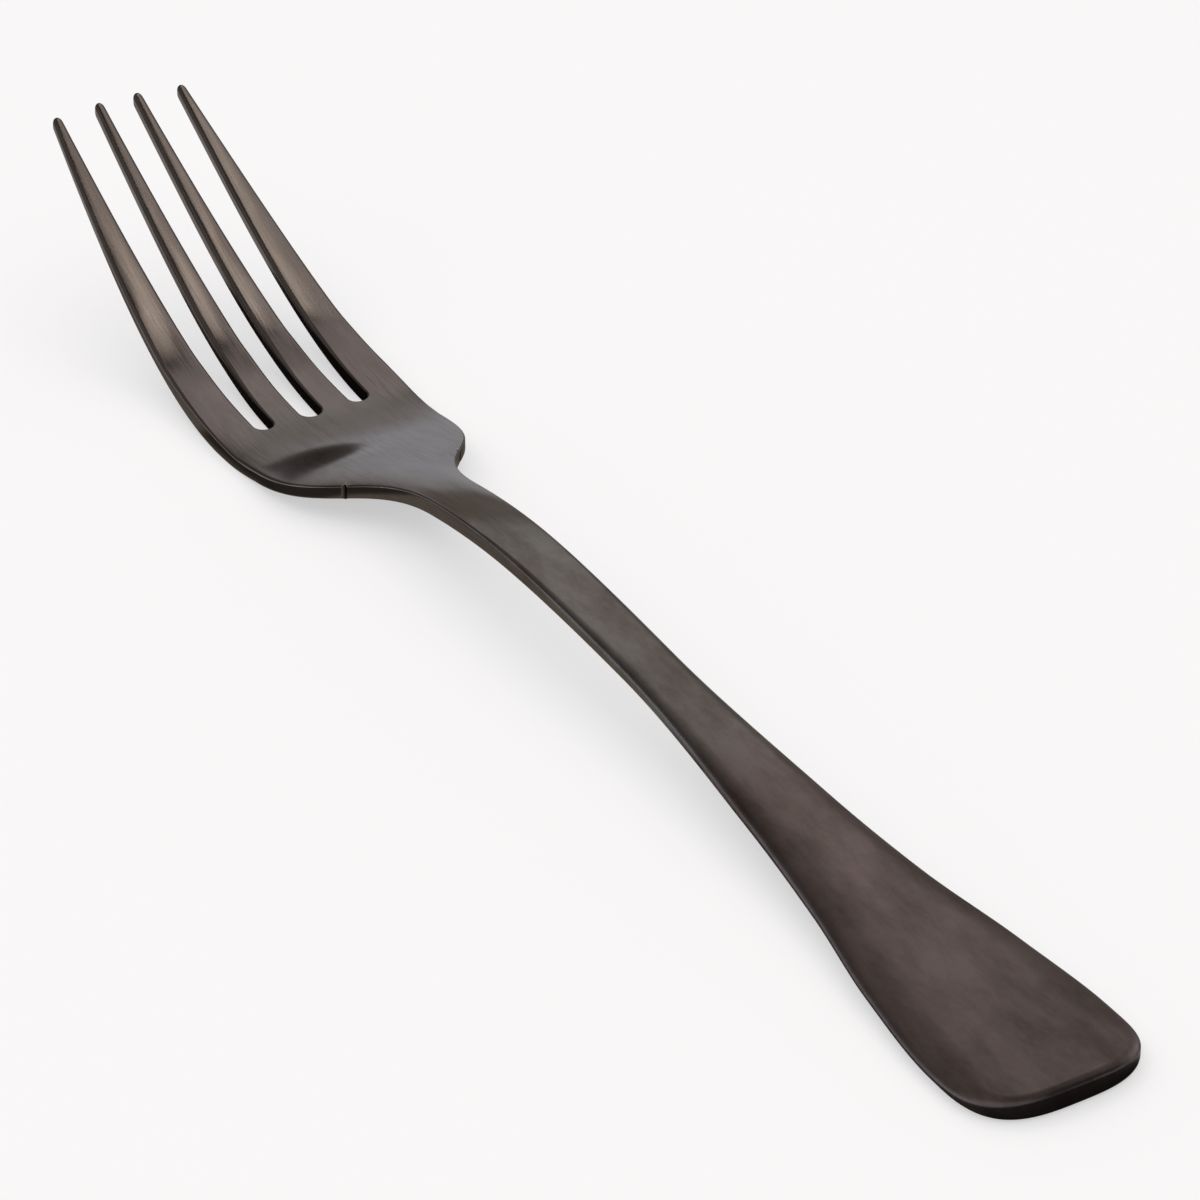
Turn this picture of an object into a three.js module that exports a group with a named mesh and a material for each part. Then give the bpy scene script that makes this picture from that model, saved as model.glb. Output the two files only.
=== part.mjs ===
// A table fork pressed from one piece of stainless steel, lying on a table with its tines upwards.
// Millimetres, +Z up, +X towards the tines. The origin is the middle of the bounding box's floor.
// The body is a plate drawn in plan as rows and columns of points. Each point is lifted to the upper
// and the lower face, and rounded edges join the two faces all the way around the outline.

import * as THREE from 'three';

// Lengths along the fork
const HANDLE_LENGTH = 78;
const NECK_LENGTH = 41;
const HEAD_LENGTH = 82;
const TINE_LENGTH = 49;
const OUTER_TIP_SETBACK = 0.3;

// Widths of the handle, each with its distance from the handle's end
const HANDLE_WIDTH = 21.1;
const HANDLE_WIDEST_FROM_END = 9.8;
const FLARE_WIDTH = 18.35;
const FLARE_FROM_END = 23;
const GRIP_WIDTH = 13.65;
const GRIP_FROM_END = 36;
const TAPER_WIDTH = 10.1;
const TAPER_FROM_END = 51;
const NECK_WIDTH = 6.5;
// 2 makes the handle's end an ellipse, and a larger number makes it squarer
const HANDLE_END_SQUARENESS = 3;

// Widths of the head
const HEAD_WIDTH = 25.3;
const HEAD_WIDEST_TO_TIP = 49;
const SHOULDER_WIDTH = 24.85;
const SHOULDER_LENGTH = 25;
const NECK_BLEND = 14;
const SHOULDER_BLEND = 14.5;
const HEAD_SIDE_BULGE = 16;
const HEAD_TAPER_WIDTH = 21.9;

// Tines and the slots between them
const SLOT_PITCH = 6.3;
const OUTER_SLOT_WIDTH = 2.45;
const MIDDLE_SLOT_WIDTH = 2.8;
const TINE_TIP_WIDTH = 1.3;
const INNER_TIP_OFFSET = 2.6;
const OUTER_TIP_OFFSET = 8.45;
const INNER_TINE_WAIST = 3.3;
const TINE_WAIST_TO_TIP = 32;

// Dish of the palm, which starts behind the shoulders and ends at the knee of the tines
const PALM_DISH = 0.85;
const DISH_START_TO_TIP = 71;
const DISH_LOW_TO_TIP = 54;
const TINE_KNEE_TO_TIP = 34;

// Side profile: heights of the upper face above the table
const ARCH_HEIGHT = 9.45;
const ARCH_FROM_NECK = 24;
const TIP_HEIGHT = 22.9;
const TIP_SLOPE_DEGREES = 32;
const HEAD_LOW_TO_TIP = 50.5;
// The head's underside is flat where the curve would dip this far below the table
const HEAD_REST_DIP = 0.1;
const HANDLE_SAG = 0.7;
const HANDLE_SAG_RUN = 30;
const ARCH_BACK_RUN = 26;
const ARCH_FRONT_RUN = 22;
const HEAD_BACK_RUN = 13.5;
const HEAD_FRONT_RUN = 13.5;
const TINE_RUN = 26;

// Thickness of the steel, crown of the handle and rounding of the edges
const HANDLE_THICKNESS = 2.4;
const NECK_THICKNESS = 2.05;
const HEAD_THICKNESS = 2.25;
const TIP_THICKNESS = 1.75;
const HANDLE_CROWN = 0.5;
const END_EDGE_RADIUS = 0.4;
const HANDLE_EDGE_RADIUS = 1;
const NECK_EDGE_RADIUS = 0.25;
const HEAD_EDGE_RADIUS = 0.25;
const TINE_EDGE_RADIUS = 0.5;
const TIP_EDGE_RADIUS = 0.55;

// How finely the plate is divided
const TINE_COLUMNS = 4;
const SLOT_COLUMNS = 4;
const HANDLE_END_ROWS = 3;
const HANDLE_ROWS = 15;
const NECK_ROWS = 6;
const SHOULDER_ROWS = 12;
const PALM_ROWS = 3;
const ROOT_ROWS = 3;
const TINE_ROWS = 13;
const EDGE_STEPS = 2;
const CURVE_STEPS = 240;

// Places measured from the handle's end
const LENGTH = HANDLE_LENGTH + NECK_LENGTH + HEAD_LENGTH;
const ARCH_TOP = HANDLE_LENGTH + ARCH_FROM_NECK;
const SHOULDER_START = HANDLE_LENGTH + NECK_LENGTH;
const SHOULDER_END = SHOULDER_START + SHOULDER_LENGTH;
const HEAD_WIDEST = LENGTH - HEAD_WIDEST_TO_TIP;
const HEAD_LOW = LENGTH - HEAD_LOW_TO_TIP;
const HEAD_LOW_HEIGHT = HEAD_THICKNESS - HEAD_REST_DIP;
const SLOT_END = LENGTH - TINE_LENGTH;
const TINE_WAIST = LENGTH - TINE_WAIST_TO_TIP;
const TIP_START = LENGTH - TINE_TIP_WIDTH / 2;

/** Turns a curve whose first coordinate always grows into a function of that coordinate. */
function heightAlong(path) {
  const points = path.getPoints(CURVE_STEPS);
  return (x) => {
    const next = points.findIndex((point) => point.x >= x);
    if (next === -1) return points[points.length - 1].y;
    if (next === 0) return points[0].y;
    const [a, b] = [points[next - 1], points[next]];
    return THREE.MathUtils.mapLinear(x, a.x, b.x, a.y, b.y);
  };
}

/** A smooth function through a few points, without overshoot, that ends level or runs straight out. */
function smoothThrough(points, { straightEnd = false } = {}) {
  const last = points.length - 1;
  const slopeTo = (i) => (points[i][1] - points[i - 1][1]) / (points[i][0] - points[i - 1][0]);
  const slopes = points.map((_, i) => {
    if (i === 0) return 0;
    if (i === last) return straightEnd ? slopeTo(last) : 0;
    const [before, after] = [slopeTo(i), slopeTo(i + 1)];
    return before * after <= 0 ? 0 : (2 * before * after) / (before + after);
  });
  return (x) => {
    if (x <= points[0][0]) return points[0][1];
    if (x >= points[last][0]) return points[last][1];
    const i = points.findIndex((point) => point[0] > x) - 1;
    const [[x0, y0], [x1, y1]] = [points[i], points[i + 1]];
    const run = x1 - x0;
    const t = (x - x0) / run;
    const rise = y0 + (y1 - y0) * t * t * (3 - 2 * t);
    return rise + run * t * (1 - t) * (slopes[i] * (1 - t) - slopes[i + 1] * t);
  };
}

// Half width of the fork, from the widest place of the handle to the tips
const handleSide = smoothThrough([
  [HANDLE_WIDEST_FROM_END, HANDLE_WIDTH / 2],
  [FLARE_FROM_END, FLARE_WIDTH / 2],
  [GRIP_FROM_END, GRIP_WIDTH / 2],
  [TAPER_FROM_END, TAPER_WIDTH / 2],
  [HANDLE_LENGTH, NECK_WIDTH / 2],
]);
const tipSide = OUTER_TIP_OFFSET + TINE_TIP_WIDTH / 2;
const headPath = new THREE.Path();
headPath.moveTo(SHOULDER_START, NECK_WIDTH / 2);
headPath.bezierCurveTo(
  SHOULDER_START + NECK_BLEND, NECK_WIDTH / 2,
  SHOULDER_END - SHOULDER_BLEND, SHOULDER_WIDTH / 2,
  SHOULDER_END, SHOULDER_WIDTH / 2,
);
headPath.quadraticCurveTo((SHOULDER_END + HEAD_WIDEST) / 2, HEAD_WIDTH / 2, HEAD_WIDEST, HEAD_WIDTH / 2);
headPath.bezierCurveTo(
  HEAD_WIDEST + HEAD_SIDE_BULGE, HEAD_WIDTH / 2,
  LENGTH - HEAD_SIDE_BULGE, HEAD_TAPER_WIDTH / 2,
  TIP_START, tipSide,
);
const headSide = heightAlong(headPath);
const halfWidth = (x) => (x < SHOULDER_START ? handleSide(x) : headSide(x));

// Upper face along the middle of the edge, from the handle's end over the arch to the tips
const tipSlope = Math.tan(THREE.MathUtils.degToRad(TIP_SLOPE_DEGREES));
const profilePath = new THREE.Path();
profilePath.moveTo(0, HANDLE_THICKNESS);
profilePath.bezierCurveTo(
  HANDLE_SAG_RUN, HANDLE_THICKNESS - HANDLE_SAG,
  ARCH_TOP - ARCH_BACK_RUN, ARCH_HEIGHT,
  ARCH_TOP, ARCH_HEIGHT,
);
profilePath.bezierCurveTo(
  ARCH_TOP + ARCH_FRONT_RUN, ARCH_HEIGHT,
  HEAD_LOW - HEAD_BACK_RUN, HEAD_LOW_HEIGHT,
  HEAD_LOW, HEAD_LOW_HEIGHT,
);
profilePath.bezierCurveTo(
  HEAD_LOW + HEAD_FRONT_RUN, HEAD_LOW_HEIGHT,
  LENGTH - TINE_RUN, TIP_HEIGHT - TINE_RUN * tipSlope,
  LENGTH, TIP_HEIGHT,
);
const profile = heightAlong(profilePath);
const thickness = smoothThrough([
  [HANDLE_WIDEST_FROM_END, HANDLE_THICKNESS],
  [ARCH_TOP, NECK_THICKNESS],
  [HEAD_LOW, HEAD_THICKNESS],
  [LENGTH, TIP_THICKNESS],
]);
const crown = smoothThrough([
  [0, HANDLE_CROWN],
  [GRIP_FROM_END, HANDLE_CROWN],
  [HANDLE_LENGTH, 0],
]);
const dish = smoothThrough([
  [LENGTH - DISH_START_TO_TIP, 0],
  [LENGTH - DISH_LOW_TO_TIP, PALM_DISH],
  [LENGTH - TINE_KNEE_TO_TIP, 0],
]);
const edgeRadius = smoothThrough([
  [0, END_EDGE_RADIUS],
  [HANDLE_WIDEST_FROM_END, HANDLE_EDGE_RADIUS],
  [TAPER_FROM_END, HANDLE_EDGE_RADIUS],
  [HANDLE_LENGTH, NECK_EDGE_RADIUS],
  [SHOULDER_START, NECK_EDGE_RADIUS],
  [SLOT_END, HEAD_EDGE_RADIUS],
  [TINE_WAIST, TINE_EDGE_RADIUS],
  [LENGTH, TIP_EDGE_RADIUS],
]);

/** Height of the upper face: the profile at the edge, with the handle's crown and the palm's dish inside. */
function upperFace(x, y) {
  const inside = 1 - Math.min(1, Math.abs(y) / halfWidth(x)) ** 2;
  return profile(x) + crown(x) * inside - dish(x) * inside ** 2;
}

/** Height of the lower face, flat where the fork rests on the table. */
function lowerFace(x) {
  return Math.max(0, profile(x) - thickness(x));
}

/** Evenly spaced numbers from one value to another, both included. */
function steps(from, to, count) {
  return Array.from({ length: count + 1 }, (_, i) => THREE.MathUtils.lerp(from, to, i / count));
}

// Edges of the tines on one half of the fork, as distances from its middle line
const outerSlot = { middle: SLOT_PITCH, width: OUTER_SLOT_WIDTH };
const middleSlot = { middle: 0, width: MIDDLE_SLOT_WIDTH };
const innerEdgeOfOuterTine = smoothThrough([
  [SLOT_END, outerSlot.middle + outerSlot.width / 2],
  [TINE_WAIST, outerSlot.middle + outerSlot.width / 2],
  [LENGTH, OUTER_TIP_OFFSET - TINE_TIP_WIDTH / 2],
], { straightEnd: true });
const innerEdgeOfInnerTine = smoothThrough([
  [SLOT_END, middleSlot.width / 2],
  [TINE_WAIST, middleSlot.width / 2],
  [LENGTH, INNER_TIP_OFFSET - TINE_TIP_WIDTH / 2],
], { straightEnd: true });
const outerEdgeOfInnerTine = smoothThrough([
  [SLOT_END, outerSlot.middle - outerSlot.width / 2],
  [TINE_WAIST, middleSlot.width / 2 + INNER_TINE_WAIST],
  [LENGTH, INNER_TIP_OFFSET + TINE_TIP_WIDTH / 2],
], { straightEnd: true });
const outerTine = { inner: innerEdgeOfOuterTine, outer: halfWidth, setback: OUTER_TIP_SETBACK };
const innerTine = { inner: innerEdgeOfInnerTine, outer: outerEdgeOfInnerTine, setback: 0 };

/** A tine on one side of the fork, with its edges named for the side that they face. */
function tineOnSide(tine, side) {
  const signed = (edge) => (x) => side * edge(x);
  const [right, left] = side < 0 ? [tine.outer, tine.inner] : [tine.inner, tine.outer];
  return { right: signed(right), left: signed(left), setback: tine.setback };
}

const tines = [
  tineOnSide(outerTine, -1),
  tineOnSide(innerTine, -1),
  tineOnSide(innerTine, 1),
  tineOnSide(outerTine, 1),
];
const slots = [{ ...outerSlot, middle: -outerSlot.middle }, middleSlot, outerSlot];
const slotRootCentre = (slot) => SLOT_END + slot.width / 2;

// The plate in plan: points, four-cornered faces between them, and the outline that runs around it
const nodes = [];
const faces = [];

function addNode(x, y) {
  nodes.push(new THREE.Vector2(x, y));
  return nodes.length - 1;
}

function addFaces(rows) {
  for (let i = 0; i + 1 < rows.length; i += 1) {
    for (let j = 0; j + 1 < rows[i].length; j += 1) {
      faces.push([rows[i][j], rows[i + 1][j], rows[i + 1][j + 1], rows[i][j + 1]]);
    }
  }
}

/** The last row of the palm, from right to left: straight over the tines, round at the slots' ends. */
function rootRow() {
  const row = [];
  tines.forEach((tine, k) => {
    const rightX = slotRootCentre(slots[Math.max(0, k - 1)]);
    const leftX = slotRootCentre(slots[Math.min(slots.length - 1, k)]);
    steps(0, 1, TINE_COLUMNS).forEach((t) => {
      const x = THREE.MathUtils.lerp(rightX, leftX, t);
      row.push(new THREE.Vector2(x, THREE.MathUtils.lerp(tine.right(rightX), tine.left(leftX), t)));
    });
    if (k === slots.length) return;
    const slot = slots[k];
    steps(0, Math.PI, SLOT_COLUMNS).slice(1, -1).forEach((angle) => {
      const radius = slot.width / 2;
      const x = slotRootCentre(slot) - radius * Math.sin(angle);
      row.push(new THREE.Vector2(x, slot.middle - radius * Math.cos(angle)));
    });
  });
  return row;
}

/** The round end of the handle, with one point for each column, from right to left. */
function handleEndRow(shares) {
  const power = 2 / HANDLE_END_SQUARENESS;
  return shares.map((share) => {
    const angle = (share * Math.PI) / 2;
    const across = Math.sign(share) * Math.abs(Math.sin(angle)) ** power;
    const along = Math.cos(angle) ** power;
    return new THREE.Vector2(HANDLE_WIDEST_FROM_END * (1 - along), (across * HANDLE_WIDTH) / 2);
  });
}

/** A row straight across the fork: the side points lie on the outline, the others inside the rounded edge. */
function straightRow(shares, x) {
  return shares.map((share) => {
    const inset = Math.abs(share) < 1 ? edgeRadius(x) : 0;
    return new THREE.Vector2(x, share * (halfWidth(x) - inset));
  });
}

/** A row between the handle's round end and the first straight row, a share of the way along. */
function handleEndBlend(end, firstStraight, t) {
  const narrowing = 1 - HANDLE_EDGE_RADIUS / (HANDLE_WIDTH / 2);
  const row = end.map((point, j) => new THREE.Vector2(point.x, point.y * narrowing).lerp(firstStraight[j], t));
  const sideX = row[0].x;
  row[0].y = -halfWidth(sideX);
  row[row.length - 1].y = halfWidth(sideX);
  return row;
}

/** Rows from the handle's end to the roots of the tines. */
function bodyRows() {
  const root = rootRow();
  const rootSide = root[root.length - 1].y;
  const shares = root.map((point) => point.y / rootSide);
  const end = handleEndRow(shares);
  const rootStart = SLOT_END - SLOT_PITCH / 2;
  const firstStraight = straightRow(shares, FLARE_FROM_END);
  const lastStraight = straightRow(shares, rootStart);
  const straightRows = (from, to, count) => steps(from, to, count).slice(0, -1).map((x) => straightRow(shares, x));
  const plan = [
    end,
    ...steps(0, 1, HANDLE_END_ROWS).slice(1, -1).map((t) => handleEndBlend(end, firstStraight, t)),
    ...straightRows(FLARE_FROM_END, HANDLE_LENGTH, HANDLE_ROWS),
    ...straightRows(HANDLE_LENGTH, SHOULDER_START, NECK_ROWS),
    ...straightRows(SHOULDER_START, SHOULDER_END, SHOULDER_ROWS),
    ...straightRows(SHOULDER_END, rootStart, PALM_ROWS),
    ...steps(0, 1, ROOT_ROWS).map((t) => lastStraight.map((point, j) => point.clone().lerp(root[j], t))),
  ];
  return plan.map((row) => row.map((point) => addNode(point.x, point.y)));
}

/** Rows of one tine, from its root row to its round tip. */
function tineRows(tine, root) {
  const tip = TIP_START - tine.setback;
  const start = nodes[root[0]].x;
  const straight = steps(start, tip, TINE_ROWS).slice(1, -1).map((x) => {
    const inner = steps(tine.right(x) + edgeRadius(x), tine.left(x) - edgeRadius(x), TINE_COLUMNS).slice(1, -1);
    return [tine.right(x), ...inner, tine.left(x)].map((y) => addNode(x, y));
  });
  const middle = (tine.right(tip) + tine.left(tip)) / 2;
  const radius = (tine.left(tip) - tine.right(tip)) / 2;
  const round = steps(0, Math.PI, TINE_COLUMNS).map((angle) => (
    addNode(tip + radius * Math.sin(angle), middle - radius * Math.cos(angle))
  ));
  return [root, ...straight, round];
}

/** Builds the plan and returns its outline as node numbers, anticlockwise from above. */
function drawPlan() {
  const body = bodyRows();
  addFaces(body);
  const root = body[body.length - 1];
  const rightSide = body.map((row) => row[0]);
  const leftSide = body.map((row) => row[row.length - 1]).reverse();
  const outline = rightSide.slice(0, -1);
  tines.forEach((tine, k) => {
    const first = k * (TINE_COLUMNS + SLOT_COLUMNS);
    const rows = tineRows(tine, root.slice(first, first + TINE_COLUMNS + 1));
    addFaces(rows);
    const tip = rows[rows.length - 1];
    outline.push(...rows.slice(0, -1).map((row) => row[0]), ...tip);
    outline.push(...rows.slice(0, -1).map((row) => row[row.length - 1]).reverse());
    if (k < slots.length) {
      outline.push(...root.slice(first + TINE_COLUMNS + 1, first + TINE_COLUMNS + SLOT_COLUMNS));
    }
  });
  outline.push(...leftSide.slice(1, -1), ...body[0].slice(1).reverse());
  return outline;
}

/** Direction out of the plate at each point of the outline. */
function outwardDirections(outline) {
  return outline.map((node, i) => {
    const before = nodes[outline.at(i - 1)];
    const after = nodes[outline[(i + 1) % outline.length]];
    return new THREE.Vector2(after.y - before.y, before.x - after.x).normalize();
  });
}

/** Lifts the plan to both faces and closes the edge between them. */
function plateGeometry() {
  const outline = drawPlan();
  const outward = outwardDirections(outline);
  const positions = [];
  const triangles = [];
  const addPoint = (x, y, z) => {
    positions.push(x - LENGTH / 2, y, z);
    return positions.length / 3 - 1;
  };
  const addQuad = (a, b, c, d) => triangles.push(a, b, c, a, c, d);

  // The rings of the edge, from the upper face over the round and down to the lower face
  const quarter = steps(0, Math.PI / 2, EDGE_STEPS);
  const rings = [];
  const edgePoint = (i, inset, drop, upper) => {
    const place = nodes[outline[i]].clone().addScaledVector(outward[i], -inset);
    const z = upper ? upperFace(place.x, place.y) - drop : lowerFace(place.x) + drop;
    return addPoint(place.x, place.y, z);
  };
  const ring = (angle, upper) => outline.map((node, i) => {
    const radius = edgeRadius(nodes[node].x);
    return edgePoint(i, radius * (1 - Math.sin(angle)), radius * (1 - Math.cos(angle)), upper);
  });
  quarter.forEach((angle) => rings.push(ring(angle, true)));
  quarter.reverse().forEach((angle) => rings.push(ring(angle, false)));

  const upper = new Map(outline.map((node, i) => [node, rings[0][i]]));
  const lower = new Map(outline.map((node, i) => [node, rings[rings.length - 1][i]]));
  nodes.forEach((point, node) => {
    if (upper.has(node)) return;
    upper.set(node, addPoint(point.x, point.y, upperFace(point.x, point.y)));
    lower.set(node, addPoint(point.x, point.y, lowerFace(point.x)));
  });
  faces.forEach((face) => {
    addQuad(...face.map((node) => upper.get(node)));
    addQuad(...face.map((node) => lower.get(node)).reverse());
  });
  for (let k = 0; k + 1 < rings.length; k += 1) {
    outline.forEach((_, i) => {
      const next = (i + 1) % outline.length;
      addQuad(rings[k][i], rings[k + 1][i], rings[k + 1][next], rings[k][next]);
    });
  }
  const geometry = new THREE.BufferGeometry();
  geometry.setAttribute('position', new THREE.Float32BufferAttribute(positions, 3));
  geometry.setIndex(triangles);
  geometry.computeVertexNormals();
  return geometry;
}

const coatedSteel = new THREE.MeshStandardMaterial({ color: '#5f5955', metalness: 1, roughness: 0.35 });
const fork = new THREE.Mesh(plateGeometry(), coatedSteel);
fork.name = 'fork';

const tableFork = new THREE.Group();
tableFork.add(fork);

export default tableFork;
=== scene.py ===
"""A table fork pressed from one piece of steel, brushed lengthwise and given a dark satin coat.

Sizes in the classes are millimetres: along the fork from its handle's end, across it from its
middle line. The finished mesh is in metres in the part's own frame, with +X towards the tines, +Y
to the fork's left and +Z up from the table.
"""

from __future__ import annotations

import logging
import math
from dataclasses import dataclass, field
from enum import Enum
from functools import cached_property, partial
from typing import Any, Callable

import bpy
import numpy as np
from mathutils import Matrix, Vector

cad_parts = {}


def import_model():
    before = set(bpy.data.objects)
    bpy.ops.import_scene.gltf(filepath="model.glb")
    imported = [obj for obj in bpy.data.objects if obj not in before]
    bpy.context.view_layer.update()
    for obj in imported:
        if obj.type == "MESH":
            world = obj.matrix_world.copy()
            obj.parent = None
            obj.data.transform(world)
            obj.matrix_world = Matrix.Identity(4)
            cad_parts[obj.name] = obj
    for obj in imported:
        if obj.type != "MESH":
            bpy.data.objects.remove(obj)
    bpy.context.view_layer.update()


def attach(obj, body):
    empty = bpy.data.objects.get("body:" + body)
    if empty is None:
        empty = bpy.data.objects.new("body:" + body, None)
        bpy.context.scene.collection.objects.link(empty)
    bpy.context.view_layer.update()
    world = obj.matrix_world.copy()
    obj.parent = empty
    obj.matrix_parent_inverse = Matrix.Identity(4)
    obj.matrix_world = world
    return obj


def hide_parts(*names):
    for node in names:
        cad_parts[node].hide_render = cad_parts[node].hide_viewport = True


Array = np.ndarray
Curve = Callable[[Any], Array]
Inputs = dict[str | int, Any] | tuple[Any, ...]
Pair = tuple[float, float]
Place = tuple[float, float, float]

MM = 0.001
PHOTO_WIDTH_PX = 1200
SENSOR_WIDTH_MM = 36.0
BLANK_PLACE = "blank_place"
TRIM_PAINTED_SHADE = "trim_soot"
TRIM_PAINTED_HIGHLIGHT = "trim_bare"
NO_TINE = -1

log = logging.getLogger("table_fork")


def linear_rgba(hex_colour: str) -> tuple[float, float, float, float]:
    """Turns an sRGB hex colour into linear values with full alpha.

    Args:
        hex_colour: Colour written as #rrggbb.

    Returns:
        Linear red, green and blue, and alpha 1.
    """
    channels = [int(hex_colour[i : i + 2], 16) / 255 for i in (1, 3, 5)]
    return (*(c / 12.92 if c <= 0.04045 else ((c + 0.055) / 1.055) ** 2.4 for c in channels), 1.0)


def direction(azimuth: float, elevation: float) -> Vector:
    """Unit vector towards an azimuth, from +X towards +Y, and an elevation, both in degrees."""
    a, e = math.radians(azimuth), math.radians(elevation)
    return Vector((math.cos(a) * math.cos(e), math.sin(a) * math.cos(e), math.sin(e)))


def add_node(
    tree: bpy.types.NodeTree, kind: str, inputs: Inputs = (), **settings: Any
) -> bpy.types.Node:
    """Adds one node to a tree with its settings, values and links.

    Args:
        tree: Shader or geometry tree that takes the node.
        kind: The node's type name.
        inputs: Values by the inputs' names or numbers, or in their order. A socket is linked, and
            a node is linked from its first output in use.
        **settings: Properties of the node itself.

    Returns:
        The new node.
    """
    node = tree.nodes.new(kind)
    for name, value in settings.items():
        setattr(node, name, value)
    for key, value in inputs.items() if isinstance(inputs, dict) else enumerate(inputs):
        if isinstance(value, bpy.types.Node):
            value = next(output for output in value.outputs if output.enabled)
        if isinstance(value, bpy.types.NodeSocket):
            tree.links.new(value, node.inputs[key])
        else:
            node.inputs[key].default_value = value
    return node


def start_nodes(owner: bpy.types.Material | bpy.types.World) -> Callable[..., bpy.types.Node]:
    """Clears the nodes of a material or world.

    Args:
        owner: The material or world.

    Returns:
        The function that adds nodes, set to its tree.
    """
    owner.use_nodes = True
    owner.node_tree.nodes.clear()
    return partial(add_node, owner.node_tree)


def flat_sheet(
    name: str, width: float, height: float, material: bpy.types.Material
) -> bpy.types.Object:
    """Makes a flat rectangle in its own XY plane and puts it in the scene.

    Args:
        name: The object's name.
        width: Size along X in millimetres.
        height: Size along Y in millimetres.
        material: What it is made of.

    Returns:
        The rectangle's object.
    """
    x, y = width / 2 * MM, height / 2 * MM
    mesh = bpy.data.meshes.new(name)
    mesh.from_pydata([(-x, -y, 0), (x, -y, 0), (x, y, 0), (-x, y, 0)], [], [(0, 1, 2, 3)])
    mesh.materials.append(material)
    sheet = bpy.data.objects.new(name, mesh)
    bpy.context.scene.collection.objects.link(sheet)
    return sheet


@dataclass(frozen=True)
class SmoothRun:
    """A value that runs smoothly through a few points along the fork, without overshoot."""

    points: tuple[Pair, ...]
    straight_end: bool = False

    @cached_property
    def slopes(self) -> Array:
        """Slope at each point, level at the ends unless the last stretch runs straight out.

        Returns:
            One slope for each point.
        """
        along, values = np.array(self.points).T
        steps = np.diff(values) / np.diff(along)
        slopes = np.zeros(len(along))
        before, after = steps[:-1], steps[1:]
        rising = before * after > 0
        slopes[1:-1][rising] = 2 * before[rising] * after[rising] / (before + after)[rising]
        if self.straight_end:
            slopes[-1] = steps[-1]
        return slopes

    def __call__(self, x: Any) -> Array:
        """Reads the run.

        Args:
            x: Distances along the fork.

        Returns:
            The value at each distance.
        """
        along, values = np.array(self.points).T
        x = np.clip(np.asarray(x, float), along[0], along[-1])
        i = np.clip(np.searchsorted(along, x, side="right") - 1, 0, len(along) - 2)
        run = along[i + 1] - along[i]
        t = (x - along[i]) / run
        rise = values[i] + (values[i + 1] - values[i]) * t * t * (3 - 2 * t)
        return rise + run * t * (1 - t) * (self.slopes[i] * (1 - t) - self.slopes[i + 1] * t)


@dataclass(frozen=True)
class BezierRun:
    """A chain of cubic curves, each with four points, that never turns back along the fork."""

    spans: tuple[tuple[Pair, Pair, Pair, Pair], ...]
    samples: int = 400

    @cached_property
    def table(self) -> Array:
        """Points along the whole chain.

        Returns:
            Two rows, of distances and values.
        """
        t = np.linspace(0, 1, self.samples)[:, None]
        weights = np.hstack([(1 - t) ** 3, 3 * t * (1 - t) ** 2, 3 * t * t * (1 - t), t**3])
        return np.vstack([weights @ np.array(span) for span in self.spans]).T

    def __call__(self, x: Any) -> Array:
        """Value at each distance along the fork."""
        return np.interp(x, *self.table)


@dataclass(frozen=True)
class Handle:
    """The flared handle and the neck that it runs into."""

    length: float = 78.0
    width: float = 21.1
    widest_from_end: float = 9.8
    flare_width: float = 18.35
    flare_from_end: float = 23.0
    grip_width: float = 13.65
    grip_from_end: float = 36.0
    taper_width: float = 10.1
    taper_from_end: float = 51.0
    neck_width: float = 6.5
    end_squareness: float = 3.0
    crown: float = 0.5
    side_drop: float = 0.4

    @property
    def half_width(self) -> Curve:
        """Half the width from the widest place to the end of the neck."""
        return SmoothRun((
            (self.widest_from_end, self.width / 2),
            (self.flare_from_end, self.flare_width / 2),
            (self.grip_from_end, self.grip_width / 2),
            (self.taper_from_end, self.taper_width / 2),
            (self.length, self.neck_width / 2),
        ))

    def along_grip(self, size: float) -> Curve:
        """A size that holds as far as the grip and fades out towards the neck."""
        return SmoothRun(((0.0, size), (self.grip_from_end, size), (self.length, 0.0)))

    def end_row(self, shares: Array) -> Array:
        """The round end seen from above, with one point for each column from right to left.

        Args:
            shares: Place of each column, from -1 at the right side to 1 at the left.

        Returns:
            One row of points along and across the fork.
        """
        angle = shares * math.pi / 2
        power = 2 / self.end_squareness
        across = np.sign(shares) * np.abs(np.sin(angle)) ** power
        along = np.abs(np.cos(angle)) ** power
        return np.column_stack([self.widest_from_end * (1 - along), across * self.width / 2])


@dataclass(frozen=True)
class Tine:
    """One tine seen from above: its two sides and how far its tip stays behind the longest."""

    near: Curve
    far: Curve
    setback: float
    on_left: bool

    def sides(self, x: Any) -> tuple[Array, Array]:
        """Places of its right and left side, mirrored for a tine on the fork's right."""
        near, far = self.near(x), self.far(x)
        return (near, far) if self.on_left else (-far, -near)

    def place_across(self, x: Any, y: Any) -> Array:
        """Place across the tine, from -1 at its right side to 1 at its left."""
        right, left = self.sides(x)
        return np.clip((2 * y - right - left) / (left - right), -1, 1)


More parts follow.
